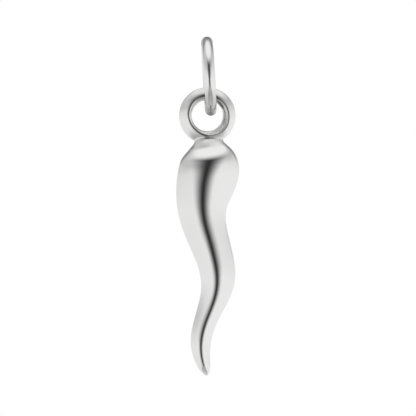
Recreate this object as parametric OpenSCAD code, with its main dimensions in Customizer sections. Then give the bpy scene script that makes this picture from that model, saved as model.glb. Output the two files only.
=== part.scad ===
// Cornicello horn pendant in polished silver: a wavy horn, a little flattened at
// the shoulder, that narrows to a round blunt tip, a round wire eye soldered into
// the top of its dome, and the jump ring that it hangs from.
// Millimetres, Z up, X to the right, Y into the view. The origin is where a chain
// lies in the top of the jump ring.

/* [Horn] */
// Length from the top of the dome to the tip
horn_l = 16.6; // [12:0.1:30]
// Width at the shoulder, the thickest section
horn_d = 4.3; // [3.4:0.05:7]
// Thickness from front to back to which the sections' shares refer
horn_t = 3; // [2.4:0.05:5]
// Side shift to which the wave's shares refer
horn_sway = 0.75; // [0:0.05:1.5]
// Height over which the top closes in a dome, seen from the front
dome_h = 2.15; // [1.8:0.05:4]
// Height over which the top closes, seen from the side
crown_h = 1.6; // [1.2:0.05:3]
// Length over which the tip is rounded off
tip_h = 0.7; // [0.3:0.05:1.5]

/* [Eye] */
// Outer diameter of the eye
eye_od = 4; // [3.4:0.05:6]
// Diameter of the eye's wire
eye_wire = 0.9; // [0.6:0.05:1.1]
// Depth to which the eye's wire is let into the dome
eye_bite = 0.25; // [0.15:0.05:0.4]

/* [Solder] */
// Width of the solder at its neck, along the eye
solder_w = 2.1; // [1.6:0.05:2.4]
// Depth of the solder at its neck, across the eye
solder_d = 0.95; // [0.9:0.05:1.4]
// Height of the solder from its neck down into the dome
solder_h = 0.75; // [0.5:0.05:1]
// Growth of the solder from its neck to its foot, on every side
solder_flare = 0.3; // [0.1:0.05:0.4]
// Rise of the solder's neck above the top of the dome
solder_rise = 0.05; // [0:0.01:0.1]
// Side shift of the solder's middle from the eye's
solder_shift = 0.12; // [0:0.02:0.2]

/* [Jump ring] */
// Inner diameter of the jump ring
ring_id = 4; // [3.4:0.1:6]
// Diameter of the jump ring's wire
ring_wire = 0.8; // [0.5:0.05:1]
// Lean of the jump ring to the side, in degrees
ring_lean = 3.2; // [0:0.1:6]
// Turn of the jump ring about its upright, in degrees
ring_turn = 1; // [0:0.5:8]

/* [Fit] */
// Clear gap between the jump ring's wire and the eye's wire above it
hang_gap = 0.3; // [0.1:0.05:0.5]

/* [Hidden] */

// Columns of the table of sections
SIDE = 0;
GIRTH = 1;
THICK = 2;
CREST = 3;

// One row for each section of the horn, at equal steps from the top to the tip.
// side: shift to the right, as a share of horn_sway
// girth: width, as a share of horn_d
// thick: thickness from front to back, as a share of horn_t
// crest: shift of the thickest place to the right, as a share of half the width
sections = [
    [ 0.40, 0.97, 0.63,  0.30],
    [ 0.42, 0.98, 0.98,  0.00],
    [-0.05, 1.01, 0.92, -0.11],
    [-0.55, 0.86, 0.87,  0.05],
    [-0.47, 0.75, 0.82,  0.08],
    [ 0.07, 0.67, 0.77,  0.10],
    [ 0.74, 0.61, 0.74,  0.00],
    [ 1.12, 0.58, 0.71, -0.03],
    [ 0.74, 0.47, 0.59,  0.00],
    [-0.07, 0.37, 0.49,  0.08],
    [-0.64, 0.35, 0.46,  0.05],
    [-0.68, 0.30, 0.42,  0.05],
    [ 0.00, 0.14, 0.20,  0.00]
];
steps = len(sections) - 1;

// Sides of a horn section, and rings along the dome, the body and the tip
sides = 36;
dome_rings = 10;
body_rings = 46;
tip_rings = 5;
// Sides and rings of the solder
solder_sides = 28;
solder_rings = 6;

// Radii to the middle of the wires
eye_r = (eye_od - eye_wire) / 2;
ring_r = (ring_id + ring_wire) / 2;

// Heights, from the chain's seat down
ring_bottom_z = -(ring_id + ring_wire / 2) * cos(ring_lean);
eye_top_z = ring_bottom_z + ring_wire / 2 + hang_gap + eye_wire / 2;
eye_z = eye_top_z - eye_r;
dome_z = eye_z - eye_r - eye_wire / 2 + eye_bite;

// Row i of the table, with one row more beyond each end
function section(i) =
    i < 0 ? 2 * sections[0] - sections[1]
    : i > steps ? 2 * sections[steps] - sections[steps - 1]
    : sections[i];

// Point on a cubic B-spline of four rows, and its slope, at the share f of the step
function spline(a, b, c, d, f) =
    (a * (1 - f)^3 + b * (3 * f^3 - 6 * f^2 + 4)
    + c * (1 + 3 * f + 3 * f^2 - 3 * f^3) + d * f^3) / 6;
function spline_slope(a, b, c, d, f) =
    (b * (3 * f^2 - 4 * f) - a * (1 - f)^2 + c * (1 + 2 * f - 3 * f^2) + d * f^2) / 2;

// Section at a depth below the top, and how fast it changes with the depth
function step_at(depth) = min(floor(depth / horn_l * steps), steps - 1);
function section_at(depth) =
    let (i = step_at(depth))
    spline(section(i - 1), section(i), section(i + 1), section(i + 2), depth / horn_l * steps - i);
function section_slope(depth) =
    let (i = step_at(depth))
    spline_slope(section(i - 1), section(i), section(i + 1), section(i + 2), depth / horn_l * steps - i)
    * steps / horn_l;

// Share of the full section that the rounding of an end leaves, at a height from that end
function rounding(height, length) = sqrt(1 - (1 - min(height / length, 1))^2);

// Points of the horn's section at a depth, square to its bent middle line: an oval
// whose thickest place lies a little to one side
function horn_ring(depth) =
    let (
        here = section_at(depth),
        lean = atan(section_slope(depth)[SIDE] * horn_sway),
        tip_share = rounding(horn_l - depth, tip_h),
        half_w = tip_share * rounding(depth, dome_h) * here[GIRTH] * horn_d / 2,
        half_t = tip_share * rounding(depth, crown_h) * here[THICK] * horn_t / 2
    )
    [for (j = [0:sides - 1]) let (a = 360 * j / sides, across = half_w * (cos(a) + here[CREST] * sin(a)^2)) [
        here[SIDE] * horn_sway + across * cos(lean),
        half_t * sin(a),
        -depth + across * sin(lean)
    ]];

// Side shift of the horn's middle line at a depth, in a closed end
function horn_pole(depth) = [section_at(depth)[SIDE] * horn_sway, 0, -depth];

// Depths of the rings: close together where the ends round off
horn_depths = concat(
    [for (i = [1:dome_rings - 1]) dome_h * (1 - cos(90 * i / dome_rings))],
    [for (i = [0:body_rings]) dome_h + (horn_l - tip_h - dome_h) * i / body_rings],
    [for (i = [1:tip_rings - 1]) horn_l - tip_h * (1 - sin(90 * i / tip_rings))]
);

// Closed solid through rings of n points, with a point at each end
module loft(first, rings, last, n) {
    count = len(rings);
    foot = 1 + count * n;
    polyhedron(
        points = concat([first], [for (ring = rings) each ring], [last]),
        faces = concat(
            [for (j = [0:n - 1]) [0, 1 + (j + 1) % n, 1 + j]],
            [for (i = [0:count - 2], j = [0:n - 1])
                let (a = 1 + i * n, b = a + n, k = (j + 1) % n)
                [a + j, b + k, b + j]],
            [for (i = [0:count - 2], j = [0:n - 1])
                let (a = 1 + i * n, b = a + n, k = (j + 1) % n)
                [a + j, a + k, b + k]],
            [for (j = [0:n - 1]) [foot, foot - n + j, foot - n + (j + 1) % n]]
        )
    );
}

module horn_body() {
    translate([0, 0, dome_z])
        loft(horn_pole(0), [for (depth = horn_depths) horn_ring(depth)], horn_pole(horn_l), sides);
}

module wire_ring(middle_r, wire) {
    rotate_extrude($fn = 96) translate([middle_r, 0]) circle(d = wire, $fn = 32);
}

module eye() {
    translate([0, 0, eye_z]) rotate([90, 0, 0]) wire_ring(eye_r, eye_wire);
}

// Solder that fills the corner between the eye and the dome: an oval neck that
// grows towards its foot inside the dome
module solder() {
    rings = [for (i = [0:solder_rings]) let (drop = i / solder_rings, grow = solder_flare * drop^2)
        [for (j = [0:solder_sides - 1]) let (a = 360 * j / solder_sides) [
            (solder_w / 2 + grow) * cos(a),
            (solder_d / 2 + grow) * sin(a),
            -solder_h * drop
        ]]];
    translate([solder_shift, 0, dome_z + solder_rise])
        loft([0, 0, 0], rings, [0, 0, -solder_h], solder_sides);
}

module horn() {
    color("silver") {
        horn_body();
        eye();
        solder();
    }
}

module jump_ring() {
    color("silver")
        rotate([0, -ring_lean, 0]) rotate([0, 0, ring_turn])
            translate([0, 0, -ring_id / 2]) rotate([0, 90, 0]) wire_ring(ring_r, ring_wire);
}

horn();
jump_ring();
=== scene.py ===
import math

import bmesh
import bpy
import numpy as np
from mathutils import Matrix, Vector
from mathutils.bvhtree import BVHTree


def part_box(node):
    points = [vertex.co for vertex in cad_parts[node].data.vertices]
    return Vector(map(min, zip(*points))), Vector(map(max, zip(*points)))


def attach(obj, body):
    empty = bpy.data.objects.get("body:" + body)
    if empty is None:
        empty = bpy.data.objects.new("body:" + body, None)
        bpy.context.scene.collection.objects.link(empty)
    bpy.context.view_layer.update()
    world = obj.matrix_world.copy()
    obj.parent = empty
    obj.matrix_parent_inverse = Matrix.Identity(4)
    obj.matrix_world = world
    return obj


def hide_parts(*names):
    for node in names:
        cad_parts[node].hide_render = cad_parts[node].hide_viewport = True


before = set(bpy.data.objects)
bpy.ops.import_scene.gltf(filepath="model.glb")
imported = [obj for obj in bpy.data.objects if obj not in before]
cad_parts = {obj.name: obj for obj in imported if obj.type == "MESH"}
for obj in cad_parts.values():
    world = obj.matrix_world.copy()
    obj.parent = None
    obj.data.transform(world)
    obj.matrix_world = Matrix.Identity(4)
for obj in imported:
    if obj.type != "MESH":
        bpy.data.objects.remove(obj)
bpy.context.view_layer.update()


# All lengths are millimetres. Each finished mesh is brought to metres once, at the end.
metresPerMm = 0.001


def nodeBoxMm(name):
    low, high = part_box(name)
    return low / metresPerMm, high / metresPerMm


hornLow, hornHigh = nodeBoxMm("horn")


# Small helpers for node trees

def addNode(tree, kind, sockets=None, **settings):
    node = tree.nodes.new(kind)
    for key, value in settings.items():
        setattr(node, key, value)
    for key, value in (sockets or {}).items():
        if isinstance(value, bpy.types.NodeSocket):
            tree.links.new(value, node.inputs[key])
        else:
            node.inputs[key].default_value = value
    return node


def calc(tree, operation, *values):
    sockets = dict(enumerate(values))
    return addNode(tree, "ShaderNodeMath", sockets, operation=operation).outputs[0]


def product(tree, first, *others):
    for other in others:
        first = calc(tree, "MULTIPLY", first, other)
    return first


def vectorCalc(tree, operation, *values, output="Vector"):
    sockets = dict(enumerate(values))
    return addNode(tree, "ShaderNodeVectorMath", sockets, operation=operation).outputs[output]


def scaled(tree, vector, factor):
    sockets = {0: vector, "Scale": factor}
    return addNode(tree, "ShaderNodeVectorMath", sockets, operation="SCALE").outputs[0]


def separated(tree, vector):
    return addNode(tree, "ShaderNodeSeparateXYZ", {0: vector}).outputs


def combined(tree, x=0.0, y=0.0, z=0.0):
    return addNode(tree, "ShaderNodeCombineXYZ", {0: x, 1: y, 2: z}).outputs[0]


def mapped(tree, value, fromLow, fromHigh, toLow=0.0, toHigh=1.0, curve="SMOOTHSTEP"):
    sockets = {0: value, 1: fromLow, 2: fromHigh, 3: toLow, 4: toHigh}
    return addNode(tree, "ShaderNodeMapRange", sockets, interpolation_type=curve).outputs[0]


def blended(tree, first, second, share):
    return addNode(tree, "ShaderNodeMix", {0: share, 2: first, 3: second}).outputs[0]


def noiseOf(tree, place, scale, detail, roughness=0.5):
    sockets = {"Vector": place, "Scale": scale, "Detail": detail, "Roughness": roughness}
    return addNode(tree, "ShaderNodeTexNoise", sockets).outputs[0]


# Small helpers for meshes

weldDistance = 0.00001  # points nearer than this become one


def geometryTree(name, sizes, counts):
    # A tree with named inputs: sizes and shares, whole counts, and the material
    tree = bpy.data.node_groups.new(name, "GeometryNodeTree")
    kinds = {"Geometry": "Geometry"}
    kinds.update({label: "Float" for label in sizes})
    kinds.update({label: "Int" for label in counts})
    kinds["Material"] = "Material"
    for label, kind in kinds.items():
        tree.interface.new_socket(label, in_out="INPUT", socket_type="NodeSocket" + kind)
    tree.interface.new_socket("Geometry", in_out="OUTPUT", socket_type="NodeSocketGeometry")
    return tree, tree.nodes.new("NodeGroupInput").outputs, tree.nodes.new("NodeGroupOutput").inputs[0]


def unitGrid(tree, columns, rows):
    # A grid, and how far each of its points lies across and along it, from 0 to 1
    sockets = {"Vertices X": columns, "Vertices Y": rows, "Size X": 1.0, "Size Y": 1.0}
    grid = addNode(tree, "GeometryNodeMeshGrid", sockets).outputs
    across, along, _ = separated(tree, grid["UV Map"])
    return grid["Mesh"], across, along


def wrapGrid(tree, grid, skin, material, end):
    # Lays the grid on the skin, closes its borders and poles, and ends the tree
    wrapped = addNode(tree, "GeometryNodeSetPosition", {0: grid, "Position": skin}).outputs[0]
    sockets = {0: wrapped, "Distance": weldDistance}
    closed = addNode(tree, "GeometryNodeMergeByDistance", sockets).outputs[0]
    real = addNode(tree, "GeometryNodeRealizeInstances", {0: closed}).outputs[0]
    dressed = addNode(tree, "GeometryNodeSetMaterial", {0: real, "Material": material}).outputs[0]
    tree.links.new(dressed, end)


def modifiedMesh(mesh, kind, settings, inputs=None):
    # Runs one modifier on a mesh and keeps the result as a plain mesh
    holder = bpy.data.objects.new(mesh.name, mesh)
    bpy.context.scene.collection.objects.link(holder)
    modifier = holder.modifiers.new(kind, kind)
    for key, value in settings.items():
        setattr(modifier, key, value)
    for identifier, value in (inputs or {}).items():
        modifier[identifier] = value
    graph = bpy.context.evaluated_depsgraph_get()
    result = bpy.data.meshes.new_from_object(holder.evaluated_get(graph))
    bpy.data.objects.remove(holder)
    return result


def grownMesh(tree, startMesh, values):
    # Runs a geometry tree on a start mesh, with the values of its named inputs
    sockets = {s.name: s.identifier for s in tree.interface.items_tree if s.in_out == "INPUT"}
    inputs = {sockets[label]: value for label, value in values.items()}
    return modifiedMesh(startMesh, "NODES", {"node_group": tree}, inputs)


def finishedPiece(name, mesh, material):
    # Brings a mesh from millimetres to metres and makes it a smooth object at the origin
    mesh.transform(Matrix.Scale(metresPerMm, 4))
    mesh.materials.clear()
    mesh.materials.append(material)
    mesh.shade_smooth()
    mesh.name = name
    piece = bpy.data.objects.new(name, mesh)
    bpy.context.scene.collection.objects.link(piece)
    return piece


# Polished silver

silver = {
    "colour": (0.94, 0.94, 0.935, 1.0),
    # dark colour of the tarnish in the satin's grain, also used for the painted shade patches
    "tarnishAndShade": (0.16, 0.155, 0.145, 1.0),
    "roughness": (0.035, 0.075),  # polished, and where handling has dulled it
    "dullScale": 1.4,             # dulled patches in a millimetre
    "dullEdge": (0.42, 0.68),     # noise from which a place is dulled, a little and fully
    "dullDetail": 3.0,
    "castingWave": 0.9,           # size of the slow unevenness left under the polish
    "castingHeight": 0.0011,
    "castingDetail": 2.0,
    "castingRoughness": 0.35,
    "scratchLength": 1.6,         # hairline scratches from wear
    "scratchWidth": 0.02,
    "scratchHeight": 0.00006,
    "scratchEdge": (0.66, 0.78),  # noise from which a scratch shows, and is deepest
    "scratchRoughness": 0.03,
    "scratchTurns": [(8, 14, 0), (62, -20, 10), (-48, 33, 25), (95, 5, 70)],  # degrees
    "satinRoughness": 0.3,        # solder and rubbed places are satin
    "satinGrey": (0.0, 0.18),     # share of tarnish there, as the grain goes
    "grainScale": 9.0,            # grains in a millimetre
    "grainEdge": (0.3, 0.7),
    "grainDetail": 4.0,
    "patchEdge": (1.0, 0.3),      # a patch grows from its edge to this share of its half sizes
    # Patches: place from the eye's centre, turn in the eye's plane in degrees, half sizes, share
    # painted shade: dark patches where the parts shade each other and in creases
    "paintedShade": [
        # painted shade and painted reflection of the jump ring, inside the eye beside it
        {"at": (0.94, -0.3, 0.8), "turn": 130.0, "half": (0.7, 0.35, 0.23), "share": 0.95},
        {"at": (0.94, 0.3, 0.8), "turn": 130.0, "half": (0.7, 0.35, 0.23), "share": 0.95},
        # painted shade on the right of the hole, and a little at its upper left
        {"at": (1.3, 0.0, -0.1), "turn": 90.0, "half": (1.15, 2.0, 0.4), "share": 0.42},
        {"at": (-1.0, 0.0, 0.65), "turn": 57.0, "half": (1.0, 2.0, 0.32), "share": 0.35},
        # painted shade where eye and jump ring touch
        {"at": (0.0, 0.0, 0.9), "turn": 0.0, "half": (1.5, 6.0, 1.35), "share": 0.38},
        # painted shade on the jump ring's lowest bend, where it hangs in the eye
        {"at": (0.12, 0.0, 0.05), "turn": 0.0, "half": (0.8, 3.5, 0.38), "share": 0.58},
        # painted shade in the corner over the solder, and under its left end
        {"at": (-0.04, -0.5, -1.62), "turn": 0.0, "half": (0.24, 0.3, 0.08), "share": 0.6},
        {"at": (-0.3, -0.5, -1.72), "turn": 24.0, "half": (0.5, 0.3, 0.1), "share": 0.33},
        {"at": (-1.02, -0.2, -2.3), "turn": 48.0, "half": (0.34, 0.6, 0.2), "share": 0.48},
    ],
    "satin": [
        # solder that ran up the eye at the lower right
        {"at": (0.6, 0.0, -1.34), "turn": 26.0, "half": (1.2, 2.0, 0.55), "share": 1.3},
        # rubbed places at the eye's upper right and upper left
        {"at": (1.14, 0.0, 0.95), "turn": 130.0, "half": (0.8, 2.0, 0.32), "share": 0.8},
        {"at": (-0.63, 0.0, 1.34), "turn": 25.0, "half": (0.8, 2.0, 0.34), "share": 0.8},
        # a little all over the eye
        {"at": (0.0, 0.0, 0.0), "turn": 0.0, "half": (2.5, 2.5, 2.5), "share": 0.25},
        # the jump ring's lowest bend, which the eye has rubbed
        {"at": (0.12, 0.0, 0.1), "turn": 0.0, "half": (0.9, 7.0, 0.75), "share": 1.4},
    ],
}


def hairlineScratches(tree, mm):
    # Fine lines that cross at a few angles
    fine = 1.0 / silver["scratchWidth"]
    lines = 0.0
    for turn in silver["scratchTurns"]:
        laid = addNode(tree, "ShaderNodeMapping", {
            "Vector": mm,
            "Rotation": [math.radians(angle) for angle in turn],
            "Scale": (fine, fine, 1.0 / silver["scratchLength"]),
        }).outputs[0]
        cut = mapped(tree, noiseOf(tree, laid, 1.0, 0.0), *silver["scratchEdge"])
        lines = calc(tree, "MAXIMUM", lines, cut)
    return lines


def patchShare(tree, mm, patch):
    # An ellipsoid in which the share grows from 0 at its surface
    laid = addNode(tree, "ShaderNodeMapping", {
        "Vector": mm,
        "Location": eyeCentre + Vector(patch["at"]),
        "Rotation": (0.0, math.radians(-patch["turn"]), 0.0),
        "Scale": patch["half"],
    }, vector_type="TEXTURE").outputs[0]
    away = vectorCalc(tree, "LENGTH", laid, output="Value")
    return mapped(tree, away, *silver["patchEdge"], 0.0, patch["share"])


def withPatches(tree, mm, share, patches):
    for patch in patches:
        share = calc(tree, "MAXIMUM", share, patchShare(tree, mm, patch))
    return share


def silverMaterial(name):
    material = bpy.data.materials.new(name)
    material.use_nodes = True
    tree = material.node_tree
    shader = tree.nodes["Principled BSDF"].inputs
    shader["Metallic"].default_value = 1.0
    place = addNode(tree, "ShaderNodeTexCoord").outputs["Object"]
    mm = scaled(tree, place, 1.0 / metresPerMm)
    lines = hairlineScratches(tree, mm)

    # Satin finish on the solder and on rubbed places
    satin = addNode(tree, "ShaderNodeAttribute", attribute_name="onSolder").outputs["Fac"]
    satin = withPatches(tree, mm, satin, silver["satin"])

    # Tarnish in the satin's grain, and painted shade in dark patches inside the eye, where eye and jump
    # ring touch, and in the solder's crease
    grain = noiseOf(tree, mm, silver["grainScale"], silver["grainDetail"])
    tarnishAndShadeShare = product(tree, satin, mapped(tree, grain, *silver["grainEdge"], *silver["satinGrey"]))
    # painted shade in the listed patches
    tarnishAndShadeShare = withPatches(tree, mm, tarnishAndShadeShare, silver["paintedShade"])
    sockets = {"Factor": tarnishAndShadeShare, 6: silver["colour"], 7: silver["tarnishAndShade"]}
    tint = addNode(tree, "ShaderNodeMix", sockets, data_type="RGBA").outputs[2]
    tree.links.new(tint, shader["Base Color"])

    # Roughness: dulled patches, scratches and satin places
    patches = noiseOf(tree, mm, silver["dullScale"], silver["dullDetail"])
    dull = mapped(tree, patches, *silver["dullEdge"])
    rough = mapped(tree, dull, 0.0, 1.0, *silver["roughness"], "LINEAR")
    rough = calc(tree, "ADD", rough, product(tree, lines, silver["scratchRoughness"]))
    rough = calc(tree, "ADD", rough, product(tree, satin, silver["satinRoughness"]))
    tree.links.new(rough, shader["Roughness"])

    # Height: slow waves of the casting and the polishing wheel, and the scratches
    perMm = 1.0 / silver["castingWave"]
    waves = noiseOf(tree, mm, perMm, silver["castingDetail"], silver["castingRoughness"])
    waves = product(tree, waves, silver["castingHeight"])
    height = calc(tree, "SUBTRACT", waves, product(tree, lines, silver["scratchHeight"]))
    sockets = {"Height": product(tree, height, metresPerMm), "Distance": 1.0, "Strength": 1.0}
    bump = addNode(tree, "ShaderNodeBump", sockets).outputs[0]
    tree.links.new(bump, shader["Normal"])
    return material


# Eye: a round wire ring, let into the top of the dome

eye = {
    "outerDiameter": 4.0,
    "wire": 0.9,
    "crest": -0.3,          # the wire's highest place lies nearer the hole than its middle
    "crestRight": 0.25,     # less so on the right
    "crestWobble": 0.1,     # and unevenly, as the wire was bent by hand
    "wobbleAngle": 140.0,   # degrees, from the right and upwards, as the angles below
    "ridge": 0.36,          # how sharp that highest place is
    "ridgeMore": 0.5,       # sharper at the lower right
    "ridgeAngle": -52.0,
    "seamDepth": 0.07,      # groove where the wire's end was soldered shut
    "seamAngle": -38.0,
    "seamHalfLength": 26.0,
    "seamCrest": -0.16,     # where across the wire it lies
    "seamHalfWidth": 0.3,
    "around": 360,
    "sides": 120,
}
eyeCentre = Vector((0.0, 0.0, hornHigh.z - eye["outerDiameter"] / 2))

hornSilver = silverMaterial("horn_silver")
ringSilver = silverMaterial("jump_ring_silver")
print("silver ready")


def wireRingTree():
    # A wire bent to a ring in the XY plane. Crest says how far outwards the wire's highest place lies, as a
    # share of its radius, and Ridge how far the wire falls away beside it, with Ridge More around its own
    # angle. Seam is a shallow groove along part of the ring.
    tree, given, end = geometryTree("wireRing", [
        "Middle Radius", "Wire Radius", "Crest", "Crest Right", "Crest Wobble", "Wobble Angle",
        "Ridge", "Ridge More", "Ridge Angle",
        "Seam Depth", "Seam Angle", "Seam Half Length", "Seam Crest", "Seam Half Width",
    ], ["Around", "Sides"])
    grid, around, over = unitGrid(tree, given["Around"], given["Sides"])
    turn = product(tree, around, 2 * math.pi)
    roll = product(tree, over, 2 * math.pi)
    sideways = calc(tree, "COSINE", roll)
    rise = calc(tree, "SINE", roll)

    def shareTowards(angle, turns=1.0):
        # 1 on the side that the angle names and -1 opposite, or twice round the ring with 2 turns
        gone = calc(tree, "SUBTRACT", turn, calc(tree, "RADIANS", angle))
        return calc(tree, "COSINE", product(tree, gone, turns))

    toRight = product(tree, given["Crest Right"], shareTowards(0.0))
    wobble = product(tree, given["Crest Wobble"], shareTowards(given["Wobble Angle"], 2.0))
    crest = calc(tree, "ADD", calc(tree, "ADD", given["Crest"], toRight), wobble)
    across = calc(tree, "ADD", sideways, product(tree, rise, rise, crest))

    near = calc(tree, "MAXIMUM", shareTowards(given["Ridge Angle"]), 0.0)
    more = product(tree, given["Ridge More"], product(tree, rise, rise, near))
    ridge = product(tree, sideways, sideways, calc(tree, "ADD", given["Ridge"], more))

    fromSeam = calc(tree, "ABSOLUTE", calc(tree, "SUBTRACT", sideways, given["Seam Crest"]))
    seam = mapped(tree, fromSeam, given["Seam Half Width"], 0.0, curve="LINEAR")
    seamEnd = calc(tree, "COSINE", calc(tree, "RADIANS", given["Seam Half Length"]))
    along = mapped(tree, shareTowards(given["Seam Angle"]), seamEnd, 1.0)
    seam = product(tree, seam, along, given["Seam Depth"])

    share = calc(tree, "SUBTRACT", calc(tree, "SUBTRACT", 1.0, ridge), seam)
    upwards = combined(tree, z=product(tree, given["Wire Radius"], rise, share))
    outwards = combined(tree, calc(tree, "COSINE", turn), calc(tree, "SINE", turn))
    reach = calc(tree, "ADD", given["Middle Radius"], product(tree, given["Wire Radius"], across))
    skin = vectorCalc(tree, "ADD", scaled(tree, outwards, reach), upwards)
    wrapGrid(tree, grid, skin, given["Material"], end)
    return tree


ringTree = wireRingTree()
eyeMesh = grownMesh(ringTree, bpy.data.meshes.new("eye_start"), {
    "Middle Radius": (eye["outerDiameter"] - eye["wire"]) / 2,
    "Wire Radius": eye["wire"] / 2,
    "Crest": eye["crest"],
    "Crest Right": eye["crestRight"],
    "Crest Wobble": eye["crestWobble"],
    "Wobble Angle": eye["wobbleAngle"],
    "Ridge": eye["ridge"],
    "Ridge More": eye["ridgeMore"],
    "Ridge Angle": eye["ridgeAngle"],
    "Seam Depth": eye["seamDepth"],
    "Seam Angle": eye["seamAngle"],
    "Seam Half Length": eye["seamHalfLength"],
    "Seam Crest": eye["seamCrest"],
    "Seam Half Width": eye["seamHalfWidth"],
    "Around": eye["around"] + 1,
    "Sides": eye["sides"] + 1,
    "Material": hornSilver,
})
eyeMesh.transform(Matrix.Translation(eyeCentre) @ Matrix.Rotation(math.radians(90), 4, "X"))
print("eye", len(eyeMesh.vertices), "vertices")


# Horn: a bent middle line skinned with oval sections

horn = {
    "length": 16.6,      # top of the dome to the tip
    "width": 4.3,        # at the shoulder
    "thickness": 3.0,    # front to back, to which the sections' shares refer
    "sway": 0.75,        # side shift to which the sections' shares refer
    "domeHeight": 2.15,  # over which the top closes, seen from the front
    "crownHeight": 1.6,  # and seen from the side
    "tipHeight": 0.7,    # over which the tip is rounded off
    "around": 384,
    "along": 1100,
    "lineSteps": 96,     # of the middle line between two sections
    # One row for each section, at equal steps from the top to the tip. side: shift to the right, of the
    # sway. girth: of the width. thick: of the thickness. crest: shift of the thickest place to the right,
    # of half the width.
    "sections": [
        {"side": 0.40, "girth": 0.97, "thick": 0.63, "crest": 0.30},
        {"side": 0.42, "girth": 0.98, "thick": 0.98, "crest": 0.00},
        {"side": -0.05, "girth": 1.01, "thick": 0.92, "crest": -0.11},
        {"side": -0.55, "girth": 0.86, "thick": 0.87, "crest": 0.05},
        {"side": -0.47, "girth": 0.75, "thick": 0.82, "crest": 0.08},
        {"side": 0.07, "girth": 0.67, "thick": 0.77, "crest": 0.10},
        {"side": 0.74, "girth": 0.61, "thick": 0.74, "crest": 0.00},
        {"side": 1.12, "girth": 0.58, "thick": 0.71, "crest": -0.03},
        {"side": 0.74, "girth": 0.47, "thick": 0.59, "crest": 0.00},
        {"side": -0.07, "girth": 0.37, "thick": 0.49, "crest": 0.08},
        {"side": -0.64, "girth": 0.35, "thick": 0.46, "crest": 0.05},
        {"side": -0.68, "girth": 0.30, "thick": 0.42, "crest": 0.05},
        {"side": 0.00, "girth": 0.14, "thick": 0.20, "crest": 0.00},
    ],
}
domeZ = hornLow.z + horn["length"]


def middleLine():
    # One point for each section, and one more beyond each end, in a chain that carries the shares
    shares = ("side", "girth", "thick", "crest")
    rows = np.array([[section[name] for name in shares] for section in horn["sections"]])
    rows = np.vstack([2 * rows[0] - rows[1], rows, 2 * rows[-1] - rows[-2]])
    step = horn["length"] / (len(horn["sections"]) - 1)
    points = [(side * horn["sway"], 0.0, -(i - 1) * step) for i, side in enumerate(rows[:, 0])]
    mesh = bpy.data.meshes.new("middle_line")
    mesh.from_pydata(points, [(i, i + 1) for i in range(len(points) - 1)], [])
    for column, name in enumerate(shares[1:], start=1):
        mesh.attributes.new(name, "FLOAT", "POINT").data.foreach_set("value", rows[:, column])
    return mesh


def roundedEnd(tree, height, length):
    # Share of the full section at a height from a rounded end
    share = calc(tree, "MINIMUM", calc(tree, "DIVIDE", calc(tree, "MAXIMUM", height, 0.0), length), 1.0)
    rest = calc(tree, "SUBTRACT", 1.0, share)
    return calc(tree, "SQRT", calc(tree, "SUBTRACT", 1.0, product(tree, rest, rest)))


def hornTree():
    tree, given, end = geometryTree("hornSkin", [
        "Length", "Width", "Thickness", "Dome Height", "Crown Height", "Tip Height",
    ], ["Around", "Along", "Line Steps"])
    chain = addNode(tree, "GeometryNodeMeshToCurve", {0: given["Geometry"]}).outputs[0]
    spline = addNode(tree, "GeometryNodeCurveSplineType", {0: chain}, spline_type="NURBS").outputs[0]
    fine = {0: spline, "Resolution": given["Line Steps"]}
    line = addNode(tree, "GeometryNodeSetSplineResolution", fine).outputs[0]

    grid, around, down = unitGrid(tree, given["Around"], given["Along"])
    turn = product(tree, around, -2 * math.pi)
    # Rows crowd together towards both ends
    run = calc(tree, "COSINE", product(tree, down, math.pi))
    run = product(tree, calc(tree, "SUBTRACT", 1.0, run), 0.5)

    def sampled(name):
        share = addNode(tree, "GeometryNodeInputNamedAttribute", {"Name": name}).outputs[0]
        sockets = {"Curves": line, "Value": share, "Factor": run}
        return addNode(tree, "GeometryNodeSampleCurve", sockets, mode="FACTOR").outputs

    girth, thick, crest = (sampled(name) for name in ("girth", "thick", "crest"))
    place, heading = girth["Position"], girth["Tangent"]
    depth = product(tree, separated(tree, place)[2], -1.0)
    tip = roundedEnd(tree, calc(tree, "SUBTRACT", given["Length"], depth), given["Tip Height"])
    dome = roundedEnd(tree, depth, given["Dome Height"])
    crown = roundedEnd(tree, depth, given["Crown Height"])
    # 0 on the first and the last row, which are points
    between = calc(tree, "SIGN", product(tree, run, calc(tree, "SUBTRACT", 1.0, run)))
    half = product(tree, tip, between, 0.5)
    halfWidth = product(tree, girth["Value"], given["Width"], half, dome)
    halfThick = product(tree, thick["Value"], given["Thickness"], half, crown)

    cosine = calc(tree, "COSINE", turn)
    sine = calc(tree, "SINE", turn)
    shift = product(tree, sine, sine, crest["Value"])
    across = product(tree, halfWidth, calc(tree, "ADD", cosine, shift))
    sideways = vectorCalc(tree, "CROSS_PRODUCT", heading, (0.0, 1.0, 0.0))
    backwards = combined(tree, y=product(tree, halfThick, sine))
    offset = vectorCalc(tree, "ADD", scaled(tree, sideways, across), backwards)
    wrapGrid(tree, grid, vectorCalc(tree, "ADD", place, offset), given["Material"], end)
    return tree


hornBody = grownMesh(hornTree(), middleLine(), {
    "Length": horn["length"],
    "Width": horn["width"],
    "Thickness": horn["thickness"],
    "Dome Height": horn["domeHeight"],
    "Crown Height": horn["crownHeight"],
    "Tip Height": horn["tipHeight"],
    "Around": horn["around"] + 1,
    "Along": horn["along"],
    "Line Steps": horn["lineSteps"],
    "Material": hornSilver,
})
hornBody.transform(Matrix.Translation((0.0, 0.0, domeZ)))
print("horn body", len(hornBody.vertices), "vertices")


# Solder: a flared skirt from the eye's wire down into the dome

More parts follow.
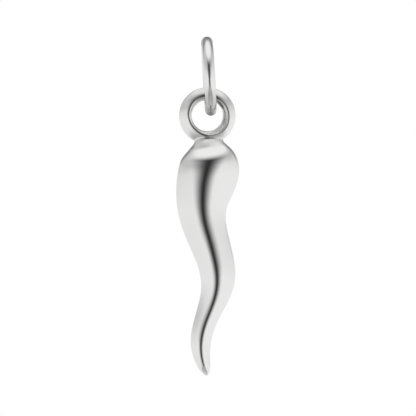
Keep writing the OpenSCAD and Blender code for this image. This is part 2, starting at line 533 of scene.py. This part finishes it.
solder = {
    "middle": 0.12,  # to the right of the eye's middle
    "tilt": 2.0,     # degrees, higher on the right
    "corners": 16,
    "smoothings": 3,
    # Rows of its cage: height over the top of the dome, half width along the eye, half depth across it
    "skirt": [
        {"height": 0.44, "halfWidth": 0.62, "halfDepth": 0.26},
        {"height": 0.24, "halfWidth": 0.82, "halfDepth": 0.38},
        {"height": 0.07, "halfWidth": 0.97, "halfDepth": 0.49},
        {"height": -0.08, "halfWidth": 1.05, "halfDepth": 0.59},
        {"height": -0.21, "halfWidth": 1.12, "halfDepth": 0.665},
        {"height": -0.35, "halfWidth": 1.23, "halfDepth": 0.73},
        {"height": -0.50, "halfWidth": 1.35, "halfDepth": 0.765},
        {"height": -0.70, "halfWidth": 1.48, "halfDepth": 0.765},
        {"height": -0.90, "halfWidth": 1.50, "halfDepth": 0.60},
    ],
}


def solderSkirt():
    cage = bmesh.new()
    count = solder["corners"]
    turns = [2 * math.pi * i / count for i in range(count)]
    rings = []
    for row in solder["skirt"]:
        wide, deep, high = row["halfWidth"], row["halfDepth"], row["height"]
        rings.append([cage.verts.new((wide * math.cos(t), deep * math.sin(t), high)) for t in turns])
    for upper, lower in zip(rings, rings[1:]):
        for i in range(count):
            after = (i + 1) % count
            cage.faces.new((upper[i], lower[i], lower[after], upper[after]))
    cage.faces.new(rings[0])
    cage.faces.new(rings[-1][::-1])
    bmesh.ops.recalc_face_normals(cage, faces=cage.faces)
    place = Matrix.Translation((solder["middle"], 0.0, domeZ))
    cage.transform(place @ Matrix.Rotation(math.radians(-solder["tilt"]), 4, "Y"))
    mesh = bpy.data.meshes.new("solder_cage")
    cage.to_mesh(mesh)
    cage.free()
    smooth = {"levels": solder["smoothings"], "render_levels": solder["smoothings"]}
    return modifiedMesh(mesh, "SUBSURF", smooth)


solderMesh = solderSkirt()
print("solder", len(solderMesh.vertices), "vertices")


# Horn, eye and solder become one closed skin with hollow fillets between them

joint = {
    "voxel": 0.041,        # mesh size of the skin
    "fineTop": 1.8,        # the mesh is that fine this far below the top of the dome
    "fineTip": 1.2,        # and this far above the tip
    "stretch": 0.36,       # between them it is longer than wide, by one over this
    "margin": 1.0,         # free height beyond both ends
    "eyeFillet": 0.12,     # how far the fillet spreads between horn and eye
    "solderFillet": 0.14,  # and between the solder and both
    "filletDepth": 1.2,    # below the top of the dome, where only the horn is left
    "settlings": 4,        # times that each point near the fillets is laid back on the skin
    "hornSettlings": 2,    # and each point below them
    "satinReach": 0.15,    # distance from the solder over which its satin finish ends
    "touching": 1e-6,      # a point this near the skin lies on it
}


def skinTree(mesh):
    return BVHTree.FromPolygons([v.co for v in mesh.vertices], [p.vertices for p in mesh.polygons])


def heightOver(skin, point):
    # Signed distance from a closed skin, and the direction away from it
    nearest, normal, _, distance = skin.find_nearest(point)
    if distance < joint["touching"]:
        return 0.0, normal
    away = (point - nearest) / distance
    if away.dot(normal) < 0:
        return -distance, -away
    return distance, away


def moveHeights(mesh, fromHeights, toHeights):
    points = np.empty(len(mesh.vertices) * 3)
    mesh.vertices.foreach_get("co", points)
    points[2::3] = np.interp(points[2::3], fromHeights, toHeights)
    mesh.vertices.foreach_set("co", points)


def oneMesh(meshes):
    everything = bmesh.new()
    for mesh in meshes:
        everything.from_mesh(mesh)
    joined = bpy.data.meshes.new("joined")
    everything.to_mesh(joined)
    everything.free()
    return joined


def remeshed(mesh):
    # The long body is squeezed for the remesh, so that its mesh comes out longer than wide
    margin = joint["margin"]
    real = [hornLow.z - margin, hornLow.z + joint["fineTip"], domeZ - joint["fineTop"], hornHigh.z + margin]
    lengths = np.diff(real) * (1.0, joint["stretch"], 1.0)
    squeezed = [real[0]] + list(real[0] + np.cumsum(lengths))
    moveHeights(mesh, real, squeezed)
    mesh = modifiedMesh(mesh, "REMESH", {"mode": "VOXEL", "voxel_size": joint["voxel"], "adaptivity": 0.0})
    moveHeights(mesh, squeezed, real)
    return mesh


def heightOverAll(baseSkin, parts, point):
    # Signed distance from the skin with its fillets, the direction away from it, and how near solder is
    level, away = heightOver(baseSkin, point)
    toSolder = joint["satinReach"]
    for skin, fillet, isSolder in parts:
        other, awayOther = heightOver(skin, point)
        overlap = max(fillet - abs(level - other), 0.0) / fillet
        share = 0.5 * overlap if other > level else 1.0 - 0.5 * overlap
        away = away * (1.0 - share) + awayOther * share
        level = min(level, other) - overlap * overlap * fillet / 4
        if isSolder:
            toSolder = min(toSolder, max(other, 0.0))
    return level, away.normalized(), toSolder


def joinedSkin(base, parts):
    # Each part is a mesh, its fillet's spread and whether it is solder
    mesh = remeshed(oneMesh([base] + [part for part, _, _ in parts]))
    baseSkin = skinTree(base)
    skins = [(skinTree(part), fillet, isSolder) for part, fillet, isSolder in parts]
    onSolder = np.zeros(len(mesh.vertices), np.float32)
    for number, vertex in enumerate(mesh.vertices):
        point = vertex.co.copy()
        nearby = skins if point.z > domeZ - joint["filletDepth"] else []
        for _ in range(joint["settlings"] if nearby else joint["hornSettlings"]):
            level, away, toSolder = heightOverAll(baseSkin, nearby, point)
            point -= away * level
        vertex.co = point
        onSolder[number] = 1.0 - toSolder / joint["satinReach"]
    mesh.attributes.new("onSolder", "FLOAT", "POINT").data.foreach_set("value", onSolder)
    return mesh


hornParts = [
    (eyeMesh, joint["eyeFillet"], False),
    (solderMesh, joint["solderFillet"], True),
]
hornPiece = finishedPiece("horn_silver", joinedSkin(hornBody, hornParts), hornSilver)
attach(hornPiece, "pendant")
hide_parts("horn")
print("horn skin", len(hornPiece.data.vertices), "vertices")


# Jump ring, edge-on above the eye

jumpRing = {
    "innerDiameter": 4.0,
    "wire": 0.8,
    "lean": 3.2,  # degrees, to the side
    "turn": 1.0,  # degrees, about its upright
    "around": 320,
    "sides": 96,
}
ringMesh = grownMesh(ringTree, bpy.data.meshes.new("ring_start"), {
    "Middle Radius": (jumpRing["innerDiameter"] + jumpRing["wire"]) / 2,
    "Wire Radius": jumpRing["wire"] / 2,
    "Seam Half Length": 1.0,  # it has no groove: its depth is 0, and only its length and width need a value
    "Seam Half Width": 1.0,
    "Around": jumpRing["around"] + 1,
    "Sides": jumpRing["sides"] + 1,
    "Material": ringSilver,
})
ringMesh.transform(Matrix.Rotation(math.radians(-jumpRing["lean"]), 4, "Y")
                   @ Matrix.Rotation(math.radians(jumpRing["turn"]), 4, "Z")
                   @ Matrix.Translation((0.0, 0.0, -jumpRing["innerDiameter"] / 2))
                   @ Matrix.Rotation(math.radians(90), 4, "Y"))
ringPiece = finishedPiece("jump_ring_silver", ringMesh, ringSilver)
ringPiece.visible_glossy = False  # horn and eye don't mirror it
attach(ringPiece, "ring")
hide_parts("jump_ring")
print("jump ring", len(ringPiece.data.vertices), "vertices")


# Studio: a white light tent with a soft box overhead and a dark gap where the lens looks in. Angles are
# degrees: heights from the horizon, azimuths from the lens and growing to the right.

tent = {
    # Brightness of the walls at a few heights
    "left": [(-30, 0.79), (-10, 0.82), (5, 0.74), (16, 0.55), (42, 0.55), (60, 0.15)],
    "right": [(-30, 0.86), (-10, 0.85), (10, 0.77), (25, 0.60), (42, 0.42), (60, 0.35)],
    "sideBlend": 0.78,   # how far to each side one wall turns into the other
    # Dark gap for the lens, and the half width to its soft edge at a few heights
    "gapAzimuth": -2,
    "gapEdge": [(-30, 33), (-10, 29), (10, 49), (25, 54), (42, 86)],
    "gapLevel": 0.03,
    # The unlit back of the tent: angles from straight behind, and the heights over which it grows dark
    "backFull": 42,
    "backGone": 66,
    "backFrom": 0,
    "backTo": 24,
    "backLevel": 0.27,
    # A narrow dark gap straight behind, over the whole height
    "slitEdge": 16,
    "slitLevel": 0.2,
    # The table: the heights of its edge at the sides and in front, how soft the edge is, and its
    # brightness from a height down and right below the pendant
    "tableSide": -58,
    "tableFront": -31,
    "tableSoft": 23,
    "tableFrom": -52,
    "tableLevel": 0.42,
    "tableBelow": 0.74,
    # Soft box overhead: angles from its middle
    "boxAzimuth": 7,
    "boxHeight": 86,
    "boxFull": 25,
    "boxGone": 58,
    "boxLevel": 0.88,
    "backdrop": 1.0,     # brightness of what the camera sees behind the pendant
}


def stops(tree, height, points):
    # Value that runs in straight stretches between the given heights
    low, high = points[0][0], points[-1][0]
    ramp = addNode(tree, "ShaderNodeValToRGB", {0: mapped(tree, height, low, high, curve="LINEAR")})
    elements = ramp.color_ramp.elements
    top = max(value for _, value in points)
    for number, (degrees, value) in enumerate(points):
        position = (degrees - low) / (high - low)
        if number < 2:
            # a new ramp has two elements
            element = elements[number]
            element.position = position
        else:
            element = elements.new(position)
        element.color = (value / top,) * 3 + (1.0,)
    return product(tree, ramp.outputs[0], top)


def tentWalls(tree, height, toRight):
    share = mapped(tree, toRight, -tent["sideBlend"], tent["sideBlend"])
    return blended(tree, stops(tree, height, tent["left"]), stops(tree, height, tent["right"]), share)


def lensGap(tree, height, azimuth):
    away = calc(tree, "ABSOLUTE", calc(tree, "SUBTRACT", azimuth, tent["gapAzimuth"]))
    return mapped(tree, away, stops(tree, height, tent["gapEdge"]), 0.0)


def unlitBack(tree, height, fromBack):
    share = mapped(tree, fromBack, tent["backGone"], tent["backFull"])
    return product(tree, share, mapped(tree, height, tent["backFrom"], tent["backTo"]))


def tableTop(tree, height, azimuth):
    # Brightness of the table, and where it is
    ahead = calc(tree, "MAXIMUM", calc(tree, "COSINE", calc(tree, "RADIANS", azimuth)), 0.0)
    edge = mapped(tree, ahead, 0.0, 1.0, tent["tableSide"], tent["tableFront"], "LINEAR")
    soft = tent["tableSoft"] / 2
    share = mapped(tree, calc(tree, "SUBTRACT", height, edge), soft, -soft)
    level = mapped(tree, height, tent["tableFrom"], -90.0, tent["tableLevel"], tent["tableBelow"], "LINEAR")
    return level, share


def softBox(tree, direction):
    turn, tilt = math.radians(tent["boxAzimuth"]), math.radians(tent["boxHeight"])
    middle = (math.sin(turn) * math.cos(tilt), -math.cos(turn) * math.cos(tilt), math.sin(tilt))
    cosine = vectorCalc(tree, "DOT_PRODUCT", direction, middle, output="Value")
    away = calc(tree, "DEGREES", calc(tree, "ARCCOSINE", cosine))
    return mapped(tree, away, tent["boxGone"], tent["boxFull"])


def lightTent():
    world = bpy.data.worlds.new("light_tent")
    world.use_nodes = True
    bpy.context.scene.world = world
    tree = world.node_tree
    direction = addNode(tree, "ShaderNodeTexCoord").outputs["Generated"]
    x, y, z = separated(tree, direction)
    height = calc(tree, "DEGREES", calc(tree, "ARCSINE", z))
    azimuth = calc(tree, "DEGREES", calc(tree, "ARCTAN2", x, product(tree, y, -1.0)))
    fromBack = calc(tree, "SUBTRACT", 180.0, calc(tree, "ABSOLUTE", azimuth))

    # Each layer is a brightness and its share, over the ones before it
    layers = [
        (tent["gapLevel"], lensGap(tree, height, azimuth)),
        (tent["backLevel"], unlitBack(tree, height, fromBack)),
        (tent["slitLevel"], mapped(tree, fromBack, tent["slitEdge"], 0.0)),
        tableTop(tree, height, azimuth),
        (tent["boxLevel"], softBox(tree, direction)),
        (tent["backdrop"], addNode(tree, "ShaderNodeLightPath").outputs["Is Camera Ray"]),
    ]
    tone = tentWalls(tree, height, x)
    for level, share in layers:
        tone = blended(tree, tone, level, share)
    tree.links.new(tone, tree.nodes["Background"].inputs["Color"])


lightTent()
print("light tent ready")


# Pale floor, well below the pendant

floor = {
    "drop": 27.0,       # below the horn's tip
    "radius": 600.0,
    "sides": 96,
    "colour": (0.9, 0.9, 0.9, 1.0),
    "roughness": 0.8,
    "glow": 0.42,       # light of its own, which keeps it pale under the tent's dark parts
}


def paleFloor():
    turns = [2 * math.pi * i / floor["sides"] for i in range(floor["sides"])]
    middle = Vector((0.0, 0.0, hornLow.z - floor["drop"]))
    rim = [middle + floor["radius"] * Vector((math.cos(t), math.sin(t), 0.0)) for t in turns]
    mesh = bpy.data.meshes.new("pale_floor")
    mesh.from_pydata([point * metresPerMm for point in rim], [], [list(range(floor["sides"]))])
    material = bpy.data.materials.new("pale_floor")
    material.use_nodes = True
    shader = material.node_tree.nodes["Principled BSDF"].inputs
    shader["Base Color"].default_value = floor["colour"]
    shader["Roughness"].default_value = floor["roughness"]
    shader["Emission Color"].default_value = floor["colour"]
    shader["Emission Strength"].default_value = floor["glow"]
    mesh.materials.append(material)
    disc = bpy.data.objects.new("pale_floor", mesh)
    disc.visible_glossy = False
    bpy.context.scene.collection.objects.link(disc)


paleFloor()
print("floor ready")


# Camera: level with the pendant and straight in front of it, with a long lens

view = {
    "frameWidth": 29.41,  # of the object's plane, which the square frame takes in
    "centre": (0.05, 0.0, -11.315),
    "distance": 400.0,
    "sensor": 36.0,
    "nearest": 10.0,
    "farthest": 10000.0,
}


def addCamera():
    data = bpy.data.cameras.new("camera")
    data.sensor_width = view["sensor"]
    data.lens = view["sensor"] * view["distance"] / view["frameWidth"]
    data.clip_start = view["nearest"] * metresPerMm
    data.clip_end = view["farthest"] * metresPerMm
    camera = bpy.data.objects.new("camera", data)
    camera.location = (Vector(view["centre"]) - Vector((0.0, view["distance"], 0.0))) * metresPerMm
    camera.rotation_euler = (math.radians(90), 0.0, 0.0)
    bpy.context.scene.collection.objects.link(camera)
    bpy.context.scene.camera = camera


addCamera()
bpy.context.scene.view_settings.view_transform = "Standard"
print("camera ready")
